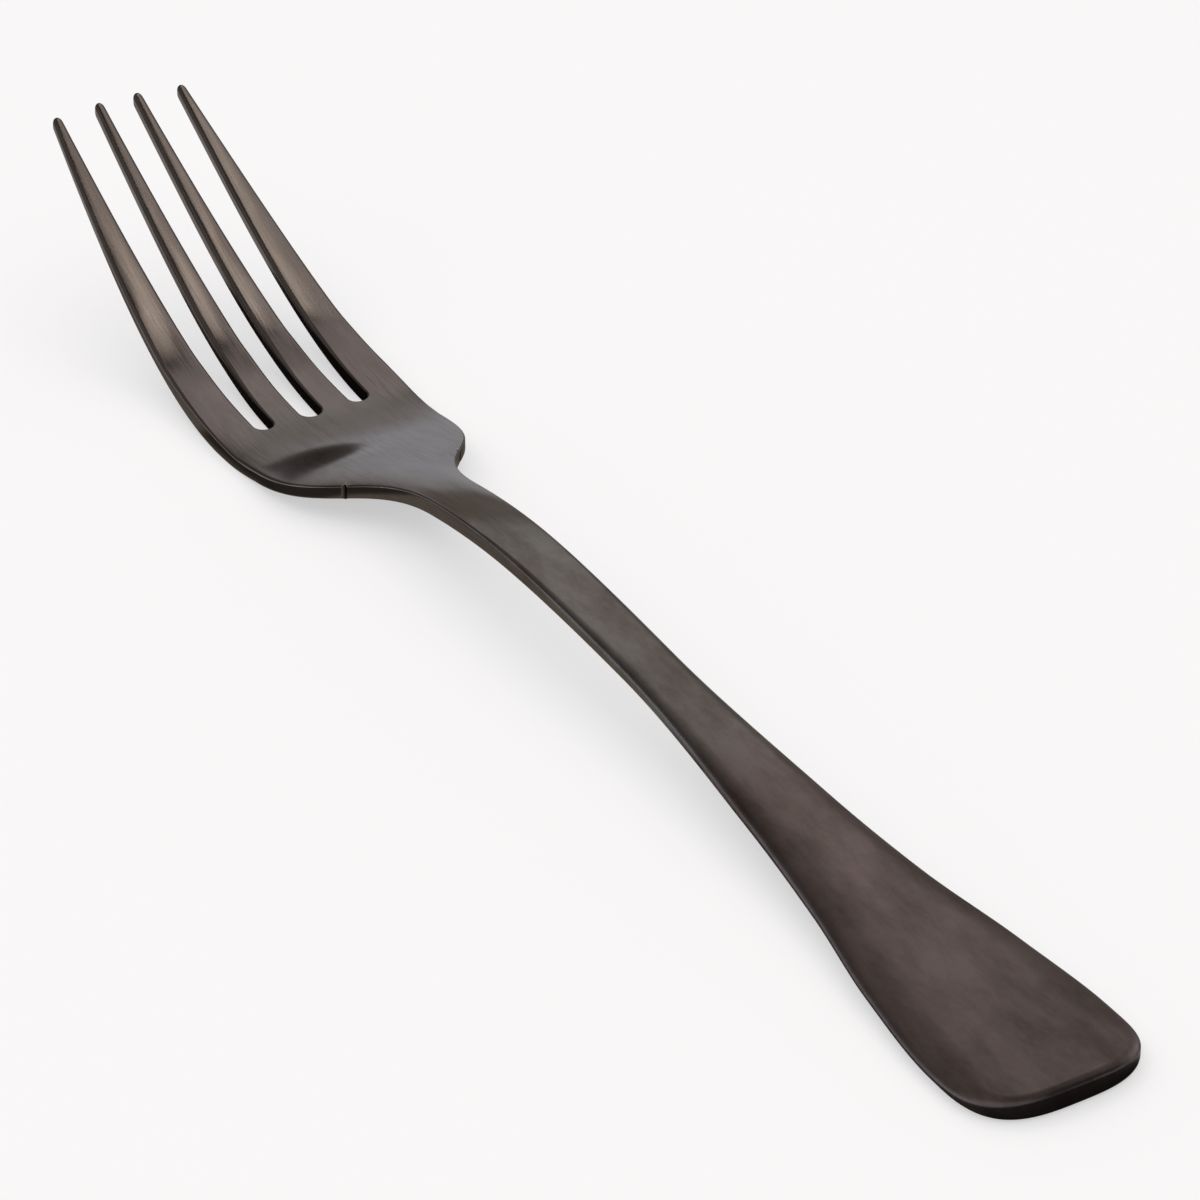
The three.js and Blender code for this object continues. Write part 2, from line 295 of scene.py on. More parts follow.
@dataclass(frozen=True)
class Head:
    """The palm with its shoulders, and the four tines."""

    start: float = 119.0
    shoulder_end: float = 144.0
    widest: float = 152.0
    slot_end: float = 152.0
    # Where the flat roots of the tines turn into their crowned upper part
    knee: float = 167.0
    # Where the slots stop being parallel
    waist: float = 169.0
    end: float = 201.0
    outer_tip_setback: float = 0.3
    neck_width: float = 6.5
    shoulder_width: float = 24.85
    width: float = 25.3
    taper_width: float = 21.9
    neck_blend: float = 14.0
    shoulder_blend: float = 14.5
    side_bulge: float = 16.0
    slot_pitch: float = 6.3
    outer_slot_width: float = 2.45
    middle_slot_width: float = 2.8
    tip_width: float = 1.3
    inner_tip_offset: float = 2.6
    outer_tip_offset: float = 8.45
    inner_tine_waist: float = 3.3
    dish_start: float = 137.0
    dish_low: float = 146.5
    dish_depth: float = 0.48
    dish_front: float = 158.5
    dish_front_depth: float = 0.36
    lip_start: float = 65.0
    neck_lip: float = 0.2
    lip_full: float = 139.0
    lip_front: float = 147.0
    palm_lip: float = 0.6
    lip_end: float = 158.0
    tine_crown: float = 0.14
    tip_crown: float = 0.084
    knee_run: float = 5.0
    knee_bend: float = 0.22
    knee_bend_reach: float = 7.0
    knee_bend_round: float = 0.625
    comb_arch: float = 0.16

    @property
    def tip_start(self) -> float:
        """Where the round of the longest tips starts."""
        return self.end - self.tip_width / 2

    @property
    def half_width(self) -> Curve:
        """Half the width of the head.

        Returns:
            A run from the neck to the tips.
        """
        neck, shoulder, side = self.neck_width / 2, self.shoulder_width / 2, self.width / 2
        # From the shoulder to the widest place the side is a parabola, written as a cubic
        third = (self.widest - self.shoulder_end) / 3
        tip_side = self.outer_tip_offset + self.tip_width / 2
        return BezierRun((
            (
                (self.start, neck),
                (self.start + self.neck_blend, neck),
                (self.shoulder_end - self.shoulder_blend, shoulder),
                (self.shoulder_end, shoulder),
            ),
            (
                (self.shoulder_end, shoulder),
                (self.shoulder_end + third, shoulder + (side - shoulder) * 2 / 3),
                (self.widest - third, side),
                (self.widest, side),
            ),
            (
                (self.widest, side),
                (self.widest + self.side_bulge, side),
                (self.end - self.side_bulge, self.taper_width / 2),
                (self.tip_start, tip_side),
            ),
        ))

    @property
    def slots(self) -> tuple[Pair, ...]:
        """Middle and width of each slot, from right to left."""
        return (
            (-self.slot_pitch, self.outer_slot_width),
            (0.0, self.middle_slot_width),
            (self.slot_pitch, self.outer_slot_width),
        )

    @cached_property
    def tines(self) -> tuple[Tine, ...]:
        """The four tines.

        Returns:
            One shape for each tine, from right to left.
        """
        half_tip = self.tip_width / 2
        outer_slot_side = self.slot_pitch + self.outer_slot_width / 2
        middle_slot_side = self.middle_slot_width / 2

        def edge(root: float, waist: float, tip: float) -> Curve:
            """One side of a tine on the left half, through its root, waist and tip."""
            points = ((self.slot_end, root), (self.waist, waist), (self.end, tip))
            return SmoothRun(points, straight_end=True)

        outer = (
            edge(outer_slot_side, outer_slot_side, self.outer_tip_offset - half_tip),
            self.half_width,
            self.outer_tip_setback,
        )
        inner = (
            edge(middle_slot_side, middle_slot_side, self.inner_tip_offset - half_tip),
            edge(
                self.slot_pitch - self.outer_slot_width / 2,
                middle_slot_side + self.inner_tine_waist,
                self.inner_tip_offset + half_tip,
            ),
            0.0,
        )
        order = ((outer, False), (inner, False), (inner, True), (outer, True))
        return tuple(Tine(*shape, on_left) for shape, on_left in order)

    @property
    def dish(self) -> Curve:
        """Depth of the palm's middle below its sides."""
        return SmoothRun((
            (self.dish_start, 0.0),
            (self.dish_low, self.dish_depth),
            (self.dish_front, self.dish_front_depth),
            (self.knee, 0.0),
        ))

    @property
    def lip(self) -> Curve:
        """Drop of the neck's and palm's rolled sides below the flat between them."""
        return SmoothRun((
            (self.lip_start, 0.0),
            (self.start, self.neck_lip),
            (self.lip_full, self.palm_lip),
            (self.lip_front, self.palm_lip),
            (self.lip_end, 0.0),
        ))

    def bend_line(self, x: Array) -> Array:
        """Depth of the soft line across the tines where the press bends them up."""
        away = np.hypot(x - self.knee, self.knee_bend_round) / self.knee_bend_reach
        return self.knee_bend * np.exp(-away)

    @property
    def arch_drop(self) -> Curve:
        """Drop of the outer tines' sides below the middle of the comb, past the knee."""
        return SmoothRun(((self.slot_end, 0.0), (self.knee + self.knee_run, self.comb_arch)))

    @property
    def crown_drop(self) -> Curve:
        """Drop of a tine's sides below its middle, which starts at the knee."""
        return SmoothRun((
            (self.knee - self.knee_run / 2, 0.0),
            (self.knee + self.knee_run / 2, self.tine_crown),
            (self.end, self.tip_crown),
        ))


@dataclass(frozen=True)
class Steel:
    """Thickness of the steel and the rounding of its edges."""

    handle: float = 2.4
    neck: float = 2.05
    head: float = 2.25
    tip: float = 1.75
    end_radius: float = 0.65
    handle_radius: float = 0.95
    waist_radius: float = 0.8
    neck_radius: float = 0.2
    shoulder_radius: float = 0.4
    head_radius: float = 0.25
    tine_radius: float = 0.5
    tip_radius: float = 0.55
    # The handle's upper edges are rolled off over more than their height
    end_roll: float = 0.85
    handle_roll: float = 3.8
    grip_roll: float = 3.0
    taper_roll: float = 2.0
    waist_roll: float = 1.2
    support: float = 0.08


@dataclass(frozen=True)
class TrimMark:
    """The nick in each side of the palm where two cuts of the trim die met, and its burr."""

    place: float = 131.0
    width: float = 0.16
    depth: float = 0.3
    burr_height: float = 0.2

    def dent(self, x: Array) -> Array:
        """Share of the full depth at each distance along the fork."""
        return np.exp(-(((x - self.place) / self.width) ** 2))


@dataclass(frozen=True)
class SideProfile:
    """Height of the upper face above the table, from the handle's end over the arch to the tips."""

    end_height: float = 2.4
    sag: float = 0.7
    sag_run: float = 30.0
    arch_top: float = 102.0
    arch_height: float = 9.45
    arch_back_run: float = 26.0
    arch_front_run: float = 22.0
    low: float = 150.5
    low_height: float = 2.15
    low_back_run: float = 13.5
    low_front_run: float = 13.5
    tip: float = 201.0
    tip_height: float = 22.9
    tip_run: float = 26.0
    tip_slope_degrees: float = 32.0

    def points(self) -> dict[str, Pair]:
        """The points that the profile's three curves run through or lead towards.

        Returns:
            Distance from the handle's end and height, by name.
        """
        slope = math.tan(math.radians(self.tip_slope_degrees))
        return {
            "Handle End": (0.0, self.end_height),
            "Handle Lead": (self.sag_run, self.end_height - self.sag),
            "Arch Back Lead": (self.arch_top - self.arch_back_run, self.arch_height),
            "Arch Top": (self.arch_top, self.arch_height),
            "Arch Front Lead": (self.arch_top + self.arch_front_run, self.arch_height),
            "Palm Back Lead": (self.low - self.low_back_run, self.low_height),
            "Palm Low": (self.low, self.low_height),
            "Palm Front Lead": (self.low + self.low_front_run, self.low_height),
            "Tip Lead": (self.tip - self.tip_run, self.tip_height - self.tip_run * slope),
            "Tip": (self.tip, self.tip_height),
        }


@dataclass(frozen=True)
class Grain:
    """A pattern drawn out along the fork: the size of its largest marks and how it breaks up."""

    length: float
    width: float
    detail: float
    roughness: float


@dataclass(frozen=True)
class CoatedSteel:
    """Stainless steel brushed lengthwise and coated dark in a vacuum chamber.

    The coat is a metal itself and far thinner than the brush lines, so the eye still sees brushed
    metal: reflections drawn out across the lines and fine streaks along them on the head. At a
    glancing angle it mirrors a little less than uncoated steel. Handling has dulled the handle,
    which shows only slow clouds where the coat's tone drifts. The nick of the trim mark is painted
    dark as the shade in it, and the top of its burr is painted pale as a highlight.
    """

    name: str = "brushed_steel_dark_vacuum_coat"
    tone: str = "#6e6967"
    # Painted reflection: the neck's paler, greyer tone stands in for the brighter room that the neck
    # mirrors
    neck_painted_reflection_tone: str = "#777573"
    handle_tone: str = "#776c6b"
    cloud_tone: str = "#564e4a"
    # Painted shade in the trim mark's nick
    nick_shade_tone: str = "#262321"
    # Painted highlight on the trim mark's burr
    burr_highlight_tone: str = "#c4beb6"
    edge_tint: str = "#cdcac7"
    handle_roughness: float = 0.4
    palm_roughness: float = 0.13
    tine_roughness: float = 0.22
    roughness_drift: float = 0.08
    anisotropy: float = 0.7
    # Where each change along the fork starts and ends
    handle_to_neck_tone: Pair = (51.0, 71.0)
    neck_to_head_tone: Pair = (102.0, 128.0)
    dull_to_bright: Pair = (80.0, 125.0)
    bright_to_brushed: Pair = (150.0, 167.0)
    # Brush lines are about 0.05 mm apart, which is under half a pixel, so they are drawn coarser
    streaks: Grain = Grain(length=7.0, width=0.2, detail=2.0, roughness=0.6)
    clouds: Grain = Grain(length=17.0, width=7.5, detail=5.0, roughness=0.74)
    streak_depth: float = 0.003
    # How much of the full tone the darkest brush lines on the head keep
    line_tone: float = 0.4
    # Values of the patterns between which tone and roughness change
    cloud_range: Pair = (0.28, 0.6)
    line_range: Pair = (0.35, 0.6)
    drift_range: Pair = (0.3, 0.7)

    def build(self, middle: float) -> bpy.types.Material:
        """Makes the material.

        Args:
            middle: Distance of the frame's origin from the handle's end.

        Returns:
            The finished material, which reads the place on the flat blank stored in the mesh.
        """
        material = bpy.data.materials.new(self.name)
        add = start_nodes(material)
        place = add("ShaderNodeAttribute", attribute_name=BLANK_PLACE).outputs["Vector"]
        # Masks of the trim mark: painted shade in its nick and a painted highlight on its burr
        nick_painted_shade, burr_painted_highlight = (
            add("ShaderNodeAttribute", attribute_name=name).outputs["Fac"]
            for name in (TRIM_PAINTED_SHADE, TRIM_PAINTED_HIGHLIGHT)
        )
        along = add("ShaderNodeSeparateXYZ", (place,))
        paling, settling, brightness, brushing = (
            add(
                "ShaderNodeMapRange",
                (along, (start - middle) * MM, (end - middle) * MM),
                interpolation_type="SMOOTHSTEP",
            )
            for start, end in (
                self.handle_to_neck_tone,
                self.neck_to_head_tone,
                self.dull_to_bright,
                self.bright_to_brushed,
            )
        )
        patterns = []
        for grain in (self.streaks, self.clouds):
            scale = [1 / (size * MM) for size in (grain.length, grain.width, grain.width)]
            drawn = add("ShaderNodeMapping", {"Vector": place, "Scale": scale})
            marks = {"Scale": 1.0, "Detail": grain.detail, "Roughness": grain.roughness}
            patterns.append(add("ShaderNodeTexNoise", {"Vector": drawn, **marks}))
        streaks, clouds = patterns
        clearness, lines, drift = (
            add("ShaderNodeMapRange", values)
            for values in (
                (clouds, *self.cloud_range),
                (streaks, *self.line_range, self.line_tone),
                (streaks, *self.drift_range, -self.roughness_drift, self.roughness_drift),
            )
        )
        on_head = add("ShaderNodeMath", (brightness, lines), operation="MULTIPLY")
        even = add("ShaderNodeMath", (clearness, on_head), operation="MAXIMUM")
        tone: Any = linear_rgba(self.handle_tone)
        for factor, under, over in (
            # The neck's paler tone is painted reflection
            (paling, None, self.neck_painted_reflection_tone),
            (settling, None, self.tone),
            (even, self.cloud_tone, None),
            # Painted shade in the trim mark's nick
            (nick_painted_shade, None, self.nick_shade_tone),
            # Painted highlight on the trim mark's burr
            (burr_painted_highlight, None, self.burr_highlight_tone),
        ):
            first, second = (linear_rgba(name) if name else tone for name in (under, over))
            # The colours are the node's seventh and eighth input
            tone = add("ShaderNodeMix", {0: factor, 6: first, 7: second}, data_type="RGBA")
        roughness = add(
            "ShaderNodeMapRange", (brightness, 0, 1, self.handle_roughness, self.palm_roughness)
        )
        roughness = add("ShaderNodeMapRange", (brushing, 0, 1, roughness, self.tine_roughness))
        roughness = add("ShaderNodeMath", (drift, brushing, roughness), operation="MULTIPLY_ADD")
        drawing = add("ShaderNodeMath", (brightness, self.anisotropy), operation="MULTIPLY")
        relief = {"Height": streaks, "Strength": brushing, "Distance": self.streak_depth * MM}
        shader = add(
            "ShaderNodeBsdfPrincipled",
            {
                "Base Color": tone,
                "Metallic": 1.0,
                "Roughness": roughness,
                "Specular Tint": linear_rgba(self.edge_tint),
                "Anisotropic": drawing,
                "Normal": add("ShaderNodeBump", relief),
                "Tangent": add("ShaderNodeTangent", direction_type="RADIAL", axis="X"),
            },
        )
        add("ShaderNodeOutputMaterial", (shader,))
        return material


@dataclass(frozen=True)
class MeshDensity:
    """How finely the fork's mesh is divided."""

    tine_columns: int = 10
    slot_columns: int = 10
    end_rows: int = 18
    handle_rows: int = 60
    neck_rows: int = 42
    shoulder_rows: int = 50
    palm_rows: int = 10
    root_rows: int = 8
    tine_rows: int = 64
    trim_rows: int = 24
    edge_steps: int = 7
    # How far the extra rows at the trim mark reach, in widths of the mark
    trim_reach: float = 5.0
    # How far inside the rolled edges the handle's end rows stay, in widths of the roll
    side_room: float = 1.2
    end_room: float = 1.4
    # How far the palm's rows go towards the slots' ends before the last one
    root_reach: float = 0.85
    # Rings at the top of the edge where the trim mark's burr is painted pale as a highlight
    highlight_rings: int = 4


@dataclass
class Plan:
    """The blank seen from above: points, four-cornered faces and the outline around them."""

    points: list[Pair] = field(default_factory=list)
    tines: list[int] = field(default_factory=list)
    faces: list[list[int]] = field(default_factory=list)
    outline: list[int] = field(default_factory=list)

    def add_row(self, row: Array, tine: int = NO_TINE) -> list[int]:
        """Adds a row of points.

        Args:
            row: Points from right to left.
            tine: Number of the tine that they belong to.

        Returns:
            The new points' numbers.
        """
        first = len(self.points)
        self.points.extend((float(x), float(y)) for x, y in row)
        self.tines.extend([tine] * len(row))
        return list(range(first, len(self.points)))

    def add_faces(self, rows: list[list[int]]) -> None:
        """Adds the faces between rows.

        Args:
            rows: Point numbers of each row from back to front.
        """
        for back, front in zip(rows, rows[1:]):
            for j in range(len(back) - 1):
                self.faces.append([back[j], front[j], front[j + 1], back[j + 1]])


class PressTree:
    """Geometry nodes that press a flat blank over a die with the fork's side profile.

    The die is a ribbon along three curves. Each point of the blank is lifted by the die's height
    under it and stays above the table. The blank's own places are stored for the finish.
    """

    NAME = "press_blank_over_die"
    SPANS = (
        ("Handle End", "Handle Lead", "Arch Back Lead", "Arch Top"),
        ("Arch Top", "Arch Front Lead", "Palm Back Lead", "Palm Low"),
        ("Palm Low", "Palm Front Lead", "Tip Lead", "Tip"),
    )
    RAY_HEIGHT = 0.1
    END_MARGIN = 2e-6

    def __init__(self) -> None:
        """Makes the tree with its named inputs."""
        self.tree = bpy.data.node_groups.new(self.NAME, "GeometryNodeTree")
        kinds = {
            "Blank": "Geometry",
            **{name: "Vector" for span in self.SPANS for name in span},
            "Die Width": "Float",
            "Die Steps": "Int",
            "Finish": "Material",
        }
        new_socket = self.tree.interface.new_socket
        self.sockets = {
            name: new_socket(name, in_out="INPUT", socket_type="NodeSocket" + kind).identifier
            for name, kind in kinds.items()
        }
        new_socket("Pressed", in_out="OUTPUT", socket_type="NodeSocketGeometry")
        self._fill()

    def _die(self, inputs: bpy.types.NodeOutputs) -> bpy.types.Node:
        """Adds the die.

        Args:
            inputs: The tree's inputs.

        Returns:
            The node that makes the ribbon.
        """
        add = partial(add_node, self.tree)
        join = add("GeometryNodeJoinGeometry")
        for names in self.SPANS:
            values = tuple(inputs[name] for name in ("Die Steps", *names))
            span = add("GeometryNodeCurvePrimitiveBezierSegment", values, mode="POSITION")
            self.tree.links.new(span.outputs["Curve"], join.inputs["Geometry"])
        level = add("GeometryNodeSetCurveNormal", {"Curve": join}, mode="Z_UP")
        width = inputs["Die Width"]
        right, left = (
            add("ShaderNodeVectorMath", {0: (side, 0, 0), "Scale": width}, operation="SCALE")
            for side in (-0.5, 0.5)
        )
        across = add("GeometryNodeCurvePrimitiveLine", {"Start": right, "End": left}, mode="POINTS")
        return add("GeometryNodeCurveToMesh", {"Curve": level, "Profile Curve": across})

    def _fill(self) -> None:
        """Adds the nodes that lift the blank and finish the tree."""
        add = partial(add_node, self.tree)
        inputs = add("NodeGroupInput").outputs
        place = add("GeometryNodeInputPosition")
        x, y, z = add("ShaderNodeSeparateXYZ", (place,)).outputs
        back, front = (
            add(
                "ShaderNodeMath",
                (add("ShaderNodeSeparateXYZ", (inputs[name],)), margin),
                operation="ADD",
            )
            for name, margin in (("Handle End", self.END_MARGIN), ("Tip", -self.END_MARGIN))
        )
        along = add("ShaderNodeClamp", (x, back, front))
        hit = add(
            "GeometryNodeRaycast",
            {
                "Target Geometry": self._die(inputs),
                "Source Position": add("ShaderNodeCombineXYZ", {"X": along, "Z": self.RAY_HEIGHT}),
                "Ray Direction": (0, 0, -1),
                "Ray Length": 2 * self.RAY_HEIGHT,
            },
        )
        die = add("ShaderNodeSeparateXYZ", (hit.outputs["Hit Position"],)).outputs
        lifted = add("ShaderNodeMath", (die["Z"], z), operation="ADD")
        on_table = add("ShaderNodeMath", (lifted, 0.0), operation="MAXIMUM")
        pressed = add("ShaderNodeCombineXYZ", (x, y, on_table))
        shape = add(
            "GeometryNodeStoreNamedAttribute",
            {"Geometry": inputs["Blank"], "Name": BLANK_PLACE, "Value": place},
            data_type="FLOAT_VECTOR",
            domain="POINT",
        )
        shape = add("GeometryNodeSetPosition", {"Geometry": shape, "Position": pressed})
        shape = add("GeometryNodeSetShadeSmooth", (shape,))
        shape = add("GeometryNodeRealizeInstances", (shape,))
        shape = add("GeometryNodeSetMaterial", {"Geometry": shape, "Material": inputs["Finish"]})
        add("NodeGroupOutput", (shape,))

    def press(self, blank: bpy.types.Object, values: dict[str, Any]) -> None:
        """Presses a blank and leaves it as a plain mesh.

        Args:
            blank: The flat blank's object.
            values: A value for each of the tree's inputs by name.
        """
        modifier = blank.modifiers.new(self.NAME, "NODES")
        modifier.node_group = self.tree
        for name, value in values.items():
            modifier[self.sockets[name]] = value
        evaluated = blank.evaluated_get(bpy.context.evaluated_depsgraph_get())
        pressed = bpy.data.meshes.new_from_object(evaluated)
        blank.modifiers.remove(modifier)
        flat = blank.data
        blank.data = pressed
        bpy.data.meshes.remove(flat)
        pressed.name = blank.name


@dataclass
class Fork:
    """The whole fork: its parts' sizes, its blank and its pressed mesh."""

    name: str = "pressed_fork"
    handle: Handle = Handle()
    head: Head = Head()
    steel: Steel = Steel()
    trim: TrimMark = TrimMark()
    profile: SideProfile = SideProfile()
    density: MeshDensity = MeshDensity()
    finish: CoatedSteel = CoatedSteel()
    # How closely the drop of the sides keeps to them
    side_power: int = 3
    die_width: float = 4.0
    die_steps: int = 400

    def __post_init__(self) -> None:
        """Keeps the curves that are asked for at every point."""
        handle, head, steel = self.handle, self.head, self.steel
        handle_side, head_side = handle.half_width, head.half_width
        self.half_width: Curve = lambda x: np.where(
            np.asarray(x) < head.start, handle_side(x), head_side(x)
        )
        self.thickness = SmoothRun((
            (handle.widest_from_end, steel.handle),
            (self.profile.arch_top, steel.neck),
            (self.profile.low, steel.head),
            (head.end, steel.tip),
        ))
        # Height and width of the upper edge's rounding at each place
        edges = (
            (0.0, steel.end_radius, steel.end_roll),
            (handle.widest_from_end, steel.handle_radius, steel.handle_roll),
            (handle.grip_from_end, steel.handle_radius, steel.grip_roll),
            (handle.taper_from_end, steel.handle_radius, steel.taper_roll),
            (handle.length, steel.waist_radius, steel.waist_roll),
            (head.start, steel.neck_radius, steel.neck_radius),
            (self.trim.place, steel.neck_radius, steel.neck_radius),
            (head.shoulder_end, steel.shoulder_radius, steel.shoulder_radius),
            (head.slot_end, steel.head_radius, steel.head_radius),
            (head.waist, steel.tine_radius, steel.tine_radius),
            (head.end, steel.tip_radius, steel.tip_radius),
        )
        self.edge_radius = SmoothRun(tuple((x, radius) for x, radius, _ in edges))
        self.roll_width = SmoothRun(tuple((x, roll) for x, _, roll in edges))

    def upper(self, x: Array, y: Array, tine: Array) -> Array:
        """Height of the upper face above the side profile.

        Args:
            x: Distances along the fork.
            y: Distances across it.
            tine: Number of the tine at each place.

        Returns:
            One height for each place.
        """
        handle, head = self.handle, self.head
        aside = np.minimum(1, np.abs(y) / self.half_width(x))
        inside = 1 - aside**2
        height = handle.along_grip(handle.crown)(x) * inside - head.dish(x) * inside**2
        drop = handle.along_grip(handle.side_drop)(x) + head.lip(x)
        height -= drop * aside**self.side_power
        height -= head.bend_line(x) + head.arch_drop(x) * (1 - inside)
        for number, edges in enumerate(head.tines):
            mine = tine == number
            across = edges.place_across(x[mine], y[mine])
            height[mine] -= head.crown_drop(x[mine]) * across**2
        return height

    def root_row(self, clear: float = 0.0) -> Array:
        """The palm's last row from right to left: straight over the tines, round at the slots.

        Args:
            clear: Distance that the row keeps from the slots' edges.

        Returns:
            One row of points along and across the fork.
        """
        head, row = self.head, []
        columns, slot_columns = self.density.tine_columns, self.density.slot_columns
        centres = [head.slot_end + width / 2 for _, width in head.slots]
        for k, tine in enumerate(head.tines):
            right_x = centres[max(0, k - 1)]
            left_x = centres[min(len(centres) - 1, k)]
            right = tine.sides(right_x)[0] + (clear if k > 0 else 0.0)
            left = tine.sides(left_x)[1] - (clear if k < len(head.slots) else 0.0)
            row.append(np.linspace((right_x, right), (left_x, left), columns + 1))
            if k < len(head.slots):
                middle, width = head.slots[k]
                angle = np.linspace(0, math.pi, slot_columns + 1)[1:-1]
                row.append(np.column_stack([
                    centres[k] - (width / 2 + clear) * np.sin(angle),
                    middle - (width / 2 + clear) * np.cos(angle),
                ]))
        return np.vstack(row)

    def straight_row(self, shares: Array, x: float) -> Array:
        """A row straight across: its side points on the outline and the rest inside the roll."""
        inset = np.where(np.abs(shares) < 1, self.roll_width(x) + self.steel.support, 0.0)
        return np.column_stack([np.full(len(shares), x), shares * (self.half_width(x) - inset)])

    def end_rows(self, end: Array, first_straight: Array) -> list[Array]:
        """Rows between the handle's round end and its first straight row.

        Args:
            end: The row on the end's outline.
            first_straight: The first straight row.

        Returns:
            The rows between the two.
        """
        steel, density = self.steel, self.density
        side_room = density.side_room * (steel.handle_roll + steel.support)
        end_room = density.end_room * (steel.end_roll + steel.support)
        narrowing = 1 - side_room / (self.handle.width / 2)
        rows = []
        for t in np.linspace(end_room / self.handle.flare_from_end, 1, density.end_rows)[:-1]:
            row = end * (1, narrowing) * (1 - t) + first_straight * t
            side = float(self.half_width(row[0, 0]))
            row[0, 1], row[-1, 1] = -side, side
            rows.append(row)
        return rows

    def body_rows(self) -> list[Array]:
        """Rows of points from the handle's end to the roots of the tines.

        Returns:
            Rows of as many points each, from right to left.
        """
        handle, head, steel, density = self.handle, self.head, self.steel, self.density
        root = self.root_row()
        shares = root[:, 1] / root[-1, 1]
        root_start = head.slot_end - head.slot_pitch / 2
        stretches = (
            (handle.flare_from_end, handle.length, density.handle_rows),
            (handle.length, head.start, density.neck_rows),
            (head.start, head.shoulder_end, density.shoulder_rows),
            (head.shoulder_end, root_start, density.palm_rows),
        )
        along = [np.linspace(*stretch, endpoint=False) for stretch in stretches]
        mark, reach = self.trim.place, density.trim_reach * self.trim.width
        along.append(np.linspace(mark - reach, mark + reach, density.trim_rows))
        first = self.straight_row(shares, handle.flare_from_end)
        last = self.straight_row(shares, root_start)
        end = handle.end_row(np.linspace(-1, 1, len(shares)))
        rows = [end, *self.end_rows(end, first)]
        rows += [self.straight_row(shares, x) for x in np.unique(np.concatenate(along))]
        clear = self.root_row(steel.head_radius + steel.support)
        steps = np.linspace(0, density.root_reach, density.root_rows)
        rows += [last * (1 - t) + clear * t for t in steps]
        return [*rows, root]

    def tine_rows(self, tine: Tine, start: float) -> list[Array]:
        """Rows of one tine from just past its root to its round tip.

        Args:
            tine: The tine.
            start: Where its root row is.

        Returns:
            Rows of points from right to left.
        """
        columns = self.density.tine_columns
        tip = self.head.tip_start - tine.setback
        rows = []
        for x in np.linspace(start, tip, self.density.tine_rows + 1)[1:-1]:
            inset = self.roll_width(x) + self.steel.support
            right, left = tine.sides(x)
            across = np.linspace(right + inset, left - inset, columns + 1)
            across[[0, -1]] = right, left
            rows.append(np.column_stack([np.full(columns + 1, x), across]))
        right, left = tine.sides(tip)
        middle, radius = (right + left) / 2, (left - right) / 2
        angle = np.linspace(0, math.pi, columns + 1)
        rows.append(np.column_stack([tip + radius * np.sin(angle), middle - radius * np.cos(angle)]))
        return rows

    def draw_plan(self) -> Plan:
        """Draws the blank seen from above, with its outline anticlockwise.

        Returns:
            The finished plan.
        """
        plan = Plan()
        columns, slot_columns = self.density.tine_columns, self.density.slot_columns
        body = [plan.add_row(row) for row in self.body_rows()]
        plan.add_faces(body)
        root = body[-1]
        plan.outline += [row[0] for row in body[:-1]]
        for k, tine in enumerate(self.head.tines):
            first = k * (columns + slot_columns)
            last = first + columns
            rows = [root[first : last + 1]]
            start = plan.points[root[first]][0]
            rows += [plan.add_row(row, k) for row in self.tine_rows(tine, start)]
            plan.add_faces(rows)
            plan.outline += [row[0] for row in rows[:-1]] + rows[-1]
            plan.outline += [row[-1] for row in rows[-2::-1]]
            if k < len(self.head.slots):
                plan.outline += root[last + 1 : last + slot_columns]
        plan.outline += [row[-1] for row in body[-2:0:-1]] + body[0][:0:-1]
        return plan

    def rings(self, plan: Plan, points: Array, tines: Array) -> list[Array]:
        """Rings of points around the edge, from the upper face over the round to the lower face.

        Args:
            plan: The blank seen from above.
            points: Places of the plan's points.
            tines: Number of the tine that each point belongs to.

        Returns:
            One array of points for each ring, with heights measured from the side profile.
        """
        edge, tine = points[plan.outline], tines[plan.outline]
        ahead = np.roll(edge, -1, axis=0) - np.roll(edge, 1, axis=0)
        outward = np.column_stack([ahead[:, 1], -ahead[:, 0]])
        outward /= np.linalg.norm(outward, axis=1)[:, None]
        radius, roll = self.edge_radius(edge[:, 0]), self.roll_width(edge[:, 0])
        dent = self.trim.dent(edge[:, 0])
        mark, burr = self.trim.depth * dent, self.trim.burr_height * dent
        courses = [(roll + self.steel.support, np.zeros_like(radius))]
        for angle in np.linspace(0, math.pi / 2, self.density.edge_steps + 1):
            inset = roll * (1 - math.sin(angle)) + mark
            courses.append((inset, radius * (1 - math.cos(angle)) - burr * math.cos(angle)))
        upper, lower = [], []
        for inset, drop in courses:
            place = edge - outward * inset[:, None]
            x, y = place.T
            upper.append(np.column_stack([place, self.upper(x, y, tine) - drop]))
            lower.append(np.column_stack([place, drop - self.thickness(x)]))
        return upper + lower[::-1]

